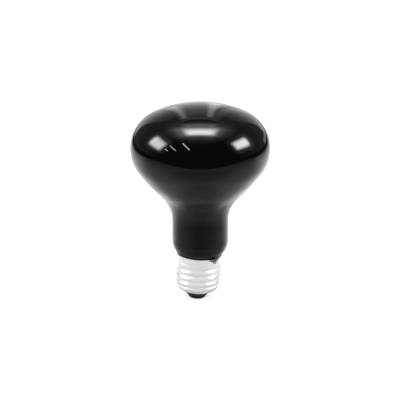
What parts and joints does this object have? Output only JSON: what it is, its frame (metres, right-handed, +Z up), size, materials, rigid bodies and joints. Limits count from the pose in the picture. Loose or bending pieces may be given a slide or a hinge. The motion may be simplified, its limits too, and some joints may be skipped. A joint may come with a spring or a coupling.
{
  "type": "uv black light bulb",
  "caption": "Black glass reflector lamp with a domed crown, wide shoulder, drawn-in neck and an E27 screw cap.",
  "frame": {"origin": "on the axis of the glass, at the height of the cap's lowest point", "axes": "+Z up the axis of the glass, from the contact to the crown; the cap leans 3.13 degrees, with its foot towards -X; the side solder is towards -Y and +X"},
  "size_m": [0.08, 0.08, 0.1162],
  "materials": {
    "black_glass": "jet black, polished",
    "cap_metal": "satin, rolled",
    "cement": "matt",
    "cap_glass": "black, glossy",
    "contact_brass": "dull",
    "solder": "dull grey",
    "lead_wire": "drawn"
  },
  "bodies": {
    "root": {"glass_bulb": "black_glass", "screw_shell": "cap_metal", "basing_cement": "cement", "insulator": "cap_glass", "centre_contact": "contact_brass", "centre_solder": "solder", "side_solder": "solder", "centre_lead": "lead_wire", "side_lead": "lead_wire"}
  },
  "joints": []
}
